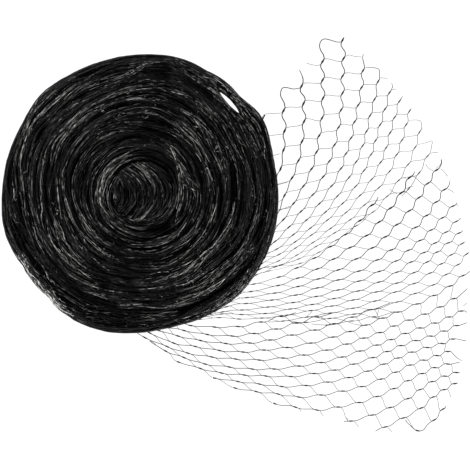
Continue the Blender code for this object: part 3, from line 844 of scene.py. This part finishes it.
# the upper, middle and lower panel, between the folds; for each strand: its lead from a cut
# corner, its marks, and the rest of its way in to the roll
strands = {
    "up1": ([(160, 105), (153.5, 104), (146, 105.5), (142, 104.5), (140.5, 99.5), (141, 96), (144, 90.5)],
        [(143.5, 82.5), (144.5, 62), (143.5, 43), (140.5, 24)], [(137, 16.5)]),
    "up2": ([(159.5, 123), (161.5, 118.5), (163, 114)], [(161.5, 107), (163.5, 89.5), (164, 71.5),
        (162, 51.5), (158.5, 32.5), (152, 15), (144.5, -2.5)], [(140, -15), (136, -23)]),
    "up3": ([(201.5, 151), (196.5, 151), (190, 153), (184.5, 154), (181, 152), (179.5, 147), (181, 142),
        (183.5, 138)], [(182.5, 131.5), (182.5, 113), (183, 95), (182, 75), (179, 57), (176.5, 41),
        (171.5, 24), (163.5, 7), (153.5, -10.5), (143.5, -26.5)], [(135, -36)]),
    "up4": ([], [(202.5, 153), (203.5, 134.5), (202.5, 117), (202.5, 100), (201, 83), (198.5, 65.5),
        (194.5, 48), (189.5, 32), (183, 16), (173, -1.5), (161, -18.5), (149, -34), (135, -48.5)],
        [(128, -55)]),
    "up5": ([(223.5, 139), (222.5, 135.5), (223.5, 131)], [(223, 122.5), (221.5, 105.5), (218, 87.5),
        (214.5, 71), (211, 55), (206, 39.5), (201, 24.5), (191.5, 7), (179.5, -10.5), (166.5, -27),
        (153.5, -41.5), (137, -56)], [(122, -64)]),
    "up6": ([(225, 125), (231, 125.5), (238.5, 124), (239.5, 120)], [(238, 111.5), (234.5, 93.5),
        (230, 77.5), (226.5, 61.5), (222.5, 47), (216, 31), (209, 15.5), (197.5, -3), (185.5, -19),
        (170.5, -35), (155, -49), (139, -61.5)], [(124, -69)]),
    "up7": ([(251.5, 110), (252.5, 106.5)], [(249.5, 100.5), (245, 84), (240, 68), (235.5, 52.5),
        (231, 38.5), (224, 22.5), (215.5, 6.5), (202.5, -10.5), (187.5, -27), (171.5, -42), (155.5, -55),
        (138.5, -68)], [(122, -75)]),
    "up8": ([(262.5, 97)], [(259.5, 92), (254.5, 75.5), (250, 60), (246, 45), (240.5, 30.5), (231.5, 13.5),
        (220, -2.5), (206, -19.5), (190.5, -35.5), (173, -49.5), (157, -62), (140.5, -72)], [(121, -75.5)]),
    "up9": ([(271.5, 84.5)], [(269.5, 82), (266, 68), (262, 53), (256.5, 38), (249.5, 21.5), (239, 5.5),
        (224.5, -12), (210.5, -26.5), (194.5, -40), (176, -53.5), (158.5, -66), (135, -74)], [(126, -78.3),
        (116, -82)]),
    "up10": ([(268, 71.5), (273, 73), (279, 72.5), (281.5, 70), (281.5, 66)], [(279.5, 61), (275, 45.5),
        (268, 28.5), (258.5, 12.5), (247, -3.5), (233, -19), (216, -33), (196.5, -47), (178.5, -59.5),
        (160, -70.5), (129, -78)], [(116, -82.4)]),
    "up11": ([(278, 48.5), (285, 50), (292, 52), (291.5, 47), (290.5, 41.5)], [(287.5, 37), (279, 20),
        (268.5, 4)], [(261, -4)]),
    "mid1": ([(238, -3.5), (237, -6.5)], [(232, -12), (220, -27.5), (205.5, -41.5), (190.5, -53.5),
        (174.5, -65), (156.5, -75), (139, -84), (114, -91)], [(104, -93.5)]),
    "mid2": ([(274.5, 21.5), (273, 18)], [(269.5, 15.5), (261, 0), (250.5, -15), (239, -29), (226.5, -42.5),
        (210, -54.5), (193.5, -66), (177, -76), (158, -85), (138, -92.5), (111, -98.5)], [(101, -100.5)]),
    "mid3": ([(301, 34), (301.5, 30)], [(296.5, 23), (287.5, 9.5), (279, -4.5), (269, -18), (257, -31.5),
        (245, -44), (232, -55), (216, -66), (198, -77), (178, -86), (158, -93.5), (135, -100),
        (107, -104.5)], [(97, -106)]),
    "mid4": ([(310, 13), (309, 8)], [(304.5, 3.5), (296, -9), (286.5, -22.5), (275.5, -34.5), (263, -46),
        (251, -57), (237, -67), (219, -78), (198, -87), (177, -95), (156, -102), (132, -107),
        (106, -110.5)], [(94, -111.5)]),
    "mid5": ([(317, -9.5)], [(313, -13), (302, -25), (291, -37), (280, -47.5), (268, -57.5), (256, -68),
        (239, -78.5), (219, -88), (198, -97), (176, -103.5), (153, -109.5), (128, -114), (102, -117)],
        [(90, -117.5)]),
    "mid6": ([(321, -25)], [(316, -28.5), (306, -39), (295, -50), (284, -59.5), (271, -69), (257, -79),
        (239, -89), (218, -98), (194, -105.5), (172, -111.5), (150, -116), (125, -120.5), (101.5, -121.5)],
        [(86, -120.5)]),
    "mid7": ([(323, -37)], [(319, -40), (308, -50), (297, -59), (287, -69), (274, -79.5), (257, -90),
        (236, -99), (213, -107), (192, -113), (171, -117.5), (147.5, -122), (122, -125), (99, -126)],
        [(82, -124.5)]),
    "mid8": ([(325.5, -48.5)], [(322, -50.5), (311, -62), (301, -71), (290, -80), (274, -90.5), (255, -99),
        (235, -108), (213, -115.2), (190, -120), (167, -124), (143, -128)], [(128, -129)]),
    "mid9": ([(329, -58.5)], [(326.5, -61), (318, -71.5), (306, -81.5), (293, -92), (275, -100.5),
        (257, -109), (235.5, -116), (214.5, -121), (189.5, -125.4), (166, -129.4)], [(150, -129)]),
    "mid10": ([(256, -118)], [(235, -123.7), (211.5, -128), (187.5, -132)], [(170, -130.5)]),
    "low0": ([(330, -78)], [(323, -82.5), (310, -93), (294, -102.5), (277, -111), (258, -119), (243, -125),
        (226, -132), (210, -138.5), (193, -144), (171, -150), (147, -154.5), (124, -157), (103, -159),
        (79.5, -157.5), (55.5, -153.5), (33.5, -150), (10, -140)], [(2, -137)]),
    "low1": ([(327.5, -95.5)], [(314, -105.5), (300, -114), (285, -121), (269, -127), (254, -133),
        (240, -139.5), (224, -145), (207, -151), (187, -157), (164, -162), (143, -165), (119, -167),
        (95.5, -166), (72, -164), (47.5, -160), (27, -153.5), (5, -144.6)], [(-3, -140)]),
    "lowC": ([(156, -119.5)], [(141.5, -123.3), (121, -129), (98, -133.5), (74.5, -134), (50.5, -132.5)],
        [(44, -131)]),
    "lowB": ([(196, -119)], [(177.5, -123.7), (157, -130), (136, -136), (114, -140.5), (92.5, -143),
        (67.5, -141.5), (44, -137.5)], [(32, -135)]),
    "lowA": ([(250, -110)], [(231, -116.5), (212.5, -124), (194, -130.7), (175, -137), (152, -142),
        (130, -147), (110, -150), (86, -150.5), (60.5, -147.5), (38, -143)], [(21, -138)]),
    "low2": ([(327, -119.5)], [(321.5, -118), (309, -124), (295, -130), (280, -135), (265, -140.5),
        (251, -146.5), (237, -152), (220, -158), (202, -164), (181, -169.5), (159, -173), (134, -176),
        (112, -176), (89.5, -174), (65, -171), (44, -164.5), (25.5, -158)], [(13, -150), (8.5, -147.2)]),
    "low3": ([(327, -129.5)], [(317, -132.5), (304, -138), (291, -143), (276, -147.5), (261, -152.5),
        (247, -158.5), (233, -164.5), (214, -171), (195, -177), (174, -180.5), (151, -183.5), (126, -183),
        (104.5, -182), (81.5, -180), (60.5, -175.5), (38.5, -169)], []),
    "low4": ([(326.5, -148)], [(313, -146), (302, -150.5), (287, -154.5), (272, -159), (258, -165),
        (244, -171), (228, -178), (209, -184.5), (188, -189), (166, -192.5), (142, -193.5), (119.5, -191),
        (98, -188.5), (74.5, -185)], []),
    "low5": ([(322, -168), (316, -164)], [(308, -158.5), (297, -162.5), (284, -167), (270, -172),
        (256, -179), (241, -186), (222, -193.5), (203, -198), (181, -202), (159, -204), (138, -201),
        (116, -198.5), (95, -195)], []),
    "low6": ([(320, -169)], [(308, -171), (295, -174.5), (282, -180.5), (268, -187.5), (254, -195.5),
        (237, -203.5), (219, -209.5), (198, -214), (177, -217), (155, -214), (134.5, -210.5)], []),
    "low7": ([(320, -179)], [(316.5, -179.5), (305, -183), (292, -188.5), (280, -196.5), (268, -205.5),
        (250, -214.5), (232, -222), (211, -228)], [(203, -229)]),
    "low8": ([(318, -190)], [(315, -190.5), (304, -196.5), (293, -204), (281, -215), (263, -225),
        (245, -234)], [(235, -238)]),
    "low9": ([(306, -212.5)], [(303, -216), (294, -227)], [(287, -232.5), (281, -237), (274, -237),
        (269, -230.5), (265.5, -225.5)]),
}
# cut links at the edges, and the odd ones under the fold
cutLinks = [
    [(181, 128.5), (176.5, 127.5), (169, 129), (165.5, 130)],
    [(205.5, 136.5), (209, 138), (215, 136.5), (222.5, 136)], [(240, 115), (244, 115), (248.5, 114)],
    [(251.5, 103.5), (254, 103.5), (256.5, 104.5)], [(281.5, 63.5), (284, 64.5)],
    [(290.5, 39.5), (294, 40.5), (298, 40.5)], [(285.5, 29), (289, 24.5), (294, 22)],
    [(263.5, 16), (266.5, 14)], [(300.5, 24), (303, 22.5), (308.5, 15.5)],
    [(307.5, 4), (310, 3), (314.5, 0)], [(316, -10.5), (318, -13)], [(249.5, 4), (254, 0.5), (258.5, -1)],
    [(214, -228), (216.5, -231), (219, -235)], [(206.5, -224.5), (209, -227.5)],
    [(248, -234.5), (252.5, -239.5)], [(180, -218), (184, -224)], [(158.5, -215), (162, -219)],
    [(307.5, -196), (309.5, -200), (311, -205.5)], [(323, -113), (327.5, -109.5)],
    [(266, 4), (269.5, 6), (274, 6.5)], [(122, 74), (123, 77), (126, 79), (133, 79.5), (142.5, 80)],
    [(128, 57), (135, 58), (143, 59)], [(133, 37.5), (141.5, 39.5)], [(136, 8), (143, 9.5), (148.5, 11.5)],
    [(137, -17), (144, -15.5), (150, -13)], [(301, 33), (301, 29.5), (298.5, 26.5), (295, 24)],
    [(238.5, -116.5), (238, -119), (237.5, -122.5)], [(172, -118.5), (168.5, -122), (165, -125.5)],
]
# thick bits of strands that lie mostly under the roll
thickBits = [[(122.3, 72.6), (123.4, 75.6), (125, 78.2)]]
# strands in the order that links join them
sheets = [["up%d" % k for k in range(1, 12)],
          ["mid%d" % k for k in range(1, 10)] + ["low%d" % k for k in range(10)],
          ["mid10"],
          ["lowC", "lowB", "lowA", "low0"]]
# far joint k of a strand is linked to near joint k + shift of the next
shifts = dict(up1=1, up2=1, up3=1, up4=-2, up5=-1, up6=-1, up7=-1, up8=-1, up9=-2, up10=-2, mid1=2, mid2=1,
              mid3=-1, mid4=-1, mid5=-1, mid6=-1, mid7=-1, mid8=-1, mid9=-2, low0=-1, low1=0, low2=-1,
              low3=-1, low4=-1, low5=-1, low6=0, low7=-1, low8=-2, lowC=1, lowB=2, lowA=5)
# strands that run on round the wall from where they meet it, and how high they climb
rooted = ["up%d" % k for k in range(1, 11)] + ["mid%d" % k for k in range(1, 8)]
rooted += ["lowC", "lowB", "lowA"]
climb = dict(zip(rooted, np.linspace(54, 9, len(rooted))))
rootSteps = np.array([(7, 0.55, 0.02), (14, 0.9, 0.10), (24, 1.0, 0.35), (36, 1.0, 0.7),
                      (50, 1.0, 1.0)])  # degrees on, share of the way in to the wall, share climbed


def onFloor(points, lift):
    # height = lift + floorWave * (1.6 + the product of two slow waves + a third), so that the net
    # doesn't lie dead flat
    flat = np.array(points, float).reshape(-1, 2)
    x, y = flat.T
    waves = np.sin(x / 21 + 0.6) * np.sin(y / 26 + 1.1) + 0.6 * np.sin((x + y) / 13)
    return np.column_stack([flat, lift + net["floorWave"] * (waves + 1.6)])


def pastEnd(end, before, distance):
    # end + distance * (end - before) / its length
    way = np.subtract(end, before)
    return tuple(end + distance * way / np.linalg.norm(way))


def rootedLine(name, points, lift):
    # the line on the floor, then steps round the wall that climb to the strand's height
    line = onFloor(points, lift)
    if name not in climb:
        return line
    x, y = line[-1, :2]
    start, out = math.atan2(y, x), math.hypot(x, y)
    angle = start - np.radians(rootSteps[:, 0])
    height = line[-1, 2] + rootSteps[:, 2] * (climb[name] - line[-1, 2])
    inset = np.interp(height, wallProfile[::-1, 1], wallProfile[::-1, 0])
    onWall = reach(angle) - inset + net["offWall"]
    radius = out + rootSteps[:, 1] * (onWall - out)
    return np.concatenate([line, polarPoints(angle, radius, height)])


def zigzagAt(phase):
    # phase counts marks: -sin(360 phase) + lean * (1 - cos(360 phase))
    return -np.sin(fullTurn * phase) + net["lean"] * (1 - np.cos(fullTurn * phase))


def layStrand(name, lead, marks, rest):
    # the smooth line through the marks + offset to its left, which swings over and back at each mark
    side = next(side for side in panels if name.startswith(side))
    panel, half = panels[side], net["jointHalf"]
    beyond = pastEnd(marks[0], (marks + rest)[1], 2 * half)
    rest = rest or [pastEnd(marks[-1], marks[-2], half)]
    line = rootedLine(name, [beyond] + marks + rest, panel["lift"])
    places, line = evenCurve(line, net["lineStep"])
    slope = np.gradient(line, axis=0)
    slope /= np.linalg.norm(slope, axis=1, keepdims=True)
    left = np.column_stack([-slope[:, 1], slope[:, 0], 0 * slope[:, 0]])
    apart = np.linalg.norm(line[None, :, :2] - np.array(marks)[:, None], axis=2)
    middles = places[apart.argmin(axis=1)]
    more = np.arange(middles[-1] + net["pitch"], places[-1] - net["endGap"], net["pitch"])
    middles = np.concatenate([middles, more])
    # the phase runs on past the first and the last mark
    known = np.concatenate([[middles[0] - net["pitch"]], middles, [middles[-1] + net["pitch"]]])
    number = int(name[len(side):]) if name[len(side):].isdigit() else 0
    zigzag, fade, weight, rootShare = (np.interp(number, panelPlaces, panel[key])
                                       for key in ("zigzag", "fade", "weight", "rootShare"))
    run = middles[len(marks) - 1] - middles[0]

    def placeOn(wanted):
        # swing = zigzag * (1 + fade / 4 - fade * share of the way in)
        phase = np.interp(wanted, known, np.arange(len(known)))
        swing = zigzag * (1 + fade / 4 - fade * np.clip((wanted - middles[0]) / run, 0, 1))
        offset = swing * zigzagAt(phase)
        return readAt(places, line, wanted) + offset[:, None] * readAt(places, left, wanted)

    inner = np.arange(middles[0] - half, places[-1] - 0.3, net["pathStep"])
    path = placeOn(np.append(inner, places[-1]))
    leadLength = 1.0
    if lead:
        leadLength += np.hypot(*np.diff(lead, axis=0).T).sum()
        path = np.concatenate([onFloor(lead, panel["lift"]), path])
    return dict(middles=placeOn(middles), far=placeOn(middles - half), near=placeOn(middles + half),
                path=path, leadLength=leadLength, rootShare=rootShare, weight=weight)


def layNet():
    # each sheet's strands in turn, and the links from far joints to the next strand's near joints
    laid, links = {}, []
    for sheet in sheets:
        for name in sheet:
            if name not in laid:
                laid[name] = layStrand(name, *strands[name])
        for name, following in zip(sheet, sheet[1:]):
            strand, after, shift = laid[name], laid[following], shifts[name]
            first, last = max(0, -shift), min(len(strand["far"]), len(after["near"]) - shift)
            start, end = strand["far"][first:last], after["near"][first + shift:last + shift]
            short = np.linalg.norm(end - start, axis=1) < net["longestLink"]
            links += [(a, b, after["weight"], after["rootShare"])
                      for a, b in zip(start[short], end[short])]
    return laid, links


def rootThinning(points, rootShare):
    # strands are drawn finer where they bunch: rootShare at the roll, 1 from rootOver off
    off = np.hypot(points[..., 0], points[..., 1]) - reachTable.mean()
    return rootShare + (1 - rootShare) * np.clip(off / net["rootOver"], 0, 1)


def strandTubes(laid):
    # radius = thin + (thick - thin) * exp(-(distance to the mark / thickHalf)^4); thick goes as the
    # strand's weight and thin as its weight^1.5, and both less at the roll
    chunks = []
    for strand in laid.values():
        places, line = evenCurve(strand["path"], net["step"])
        away = np.linalg.norm(line[:, None] - strand["middles"][None], axis=2).min(axis=1)
        swell = np.exp(-(away / net["thickHalf"]) ** 4)
        share = rootThinning(line, strand["rootShare"])
        thin = net["thinRadius"] * strand["weight"] ** 1.5 * share ** 2
        thick = net["thickRadius"] * strand["weight"] * share
        radii = thin + (thick - thin) * swell
        # a corner starts as thin as the link it comes from
        radii *= net["leadStart"] + (1 - net["leadStart"]) * np.clip(places / strand["leadLength"], 0, 1)
        line[:, 2] = np.maximum(line[:, 2], radii)
        chunks.append(tubeChunk(line[None], radii[None], net["sides"], rng.random(1)))
    return chunks


def linkTubes(links):
    # a straight run with a sideways s: bow * sin(360 t), and a small rise: arch * sin(180 t);
    # radius = linkRadius * sqrt(weight) * (1 + linkSwell (2t - 1)^4), less at the roll
    start, end = np.array([link[0] for link in links]), np.array([link[1] for link in links])
    t = np.linspace(0, 1, net["linkSteps"])[None, :, None]
    paths = start[:, None] * (1 - t) + end[:, None] * t
    across = (end - start)[:, [1, 0, 2]] * (-1, 1, 0)
    across /= np.linalg.norm(across, axis=1, keepdims=True) + 1e-9
    bow = net["linkBow"] * rng.uniform(*net["bowShare"], len(links))[:, None, None]
    paths = paths + bow * np.sin(fullTurn * t) * across[:, None]
    paths[:, :, 2] += net["linkArch"] * np.sin(math.pi * t[..., 0])
    weight, rootShare = np.array([link[2:] for link in links]).T[..., None]
    swell = 1 + net["linkSwell"] * (2 * t[..., 0] - 1) ** 4
    radii = net["linkRadius"] * np.sqrt(weight) * swell * rootThinning(paths, rootShare)
    return tubeChunk(paths, radii, net["linkSides"], rng.random(len(links)))


def cutLinkTubes():
    # smooth curves through the points, each of one thickness
    chunks = []
    thick = [(points, net["thickRadius"]) for points in thickBits]
    for points, radius in [(points, net["linkRadius"]) for points in cutLinks] + thick:
        line = evenCurve(onFloor(points, net["cutLift"]), net["cutStep"])[1][None]
        radii = np.full(line.shape[:2], radius)
        chunks.append(tubeChunk(line, radii, net["linkSides"], rng.random(1)))
    return chunks


laid, links = layNet()
newPiece("loose_strands", strandTubes(laid), looseFinish, "loose_end")
newPiece("loose_links", [linkTubes(links)] + cutLinkTubes(), linkFinish, "loose_end")
print("loose end laid:", len(laid), "strands,", len(links), "links")


studio = dict(floorGlow=1.0, floorAlbedo=0.08, floorHalf=60.0, horizon=0.9, ceiling=0.02,
              aim=(60.0, -20.0, 30.0))
# softboxes: azimuth and elevation in degrees, distance and width in metres, brightness
softboxes = [(140, 33, 1.7, 0.42, 42.0), (314, 33, 1.7, 0.42, 37.0), (196, 42, 2.0, 0.5, 16.0),
             (30, 45, 2.0, 0.5, 9.0), (228, 24, 1.8, 0.3, 42.0)]


def layFloor():
    # one square, half its side each way; it glows so that it reads as a plain white ground
    half = studio["floorHalf"]
    mesh = bpy.data.meshes.new("floor")
    mesh.from_pydata([(-half, -half, 0), (half, -half, 0), (half, half, 0), (-half, half, 0)], [],
                     [(0, 1, 2, 3)])
    paper = bpy.data.materials.new("whiteStudioPaper")
    paper.use_nodes = True
    look = {"Base Color": [studio["floorAlbedo"]] * 3 + [1], "Roughness": 0.9, "Specular IOR Level": 0.1,
            "Emission Color": (1, 1, 1, 1), "Emission Strength": studio["floorGlow"]}
    for socket, value in look.items():
        paper.node_tree.nodes["Principled BSDF"].inputs[socket].default_value = value
    mesh.materials.append(paper)
    floor = bpy.data.objects.new("floor", mesh)
    bpy.context.collection.objects.link(floor)


def hangSoftboxes():
    # each at aim + distance * its direction, facing back; power = brightness * pi * area
    aim = np.array(studio["aim"]) * mm
    for index, (azimuth, elevation, distance, width, brightness) in enumerate(softboxes):
        lamp = bpy.data.lights.new("softbox%d" % index, "AREA")
        lamp.shape = "SQUARE"
        lamp.size = width
        lamp.energy = brightness * math.pi * width * width
        around, up = math.radians(azimuth), math.radians(elevation)
        way = np.array([math.cos(up) * math.cos(around), math.cos(up) * math.sin(around), math.sin(up)])
        box = bpy.data.objects.new(lamp.name, lamp)
        box.location = aim + distance * way
        box.rotation_euler = (math.pi / 2 - up, 0, around + math.pi / 2)
        bpy.context.collection.objects.link(box)


def lightWorld():
    # pale at the horizon and dim overhead, so that the softboxes do the lighting
    world = bpy.data.worlds.new("paleRoom")
    world.use_nodes = True
    backdrop = world.node_tree.nodes["Background"]
    way = addNode(world.node_tree, "ShaderNodeTexCoord")
    split = addNode(world.node_tree, "ShaderNodeSeparateXYZ", links={0: way.outputs["Generated"]})
    rise = addNode(world.node_tree, "ShaderNodeMapRange",
                   {"From Min": 0.03, "From Max": 0.08, "To Min": studio["horizon"],
                    "To Max": studio["ceiling"]}, {"Value": split.outputs["Z"]})
    world.node_tree.links.new(rise.outputs["Result"], backdrop.inputs["Strength"])
    backdrop.inputs["Color"].default_value = (1, 1, 1, 1)
    bpy.context.scene.world = world
    bpy.context.scene.view_settings.view_transform = "Standard"


layFloor()
hangSoftboxes()
lightWorld()
print("studio lit")
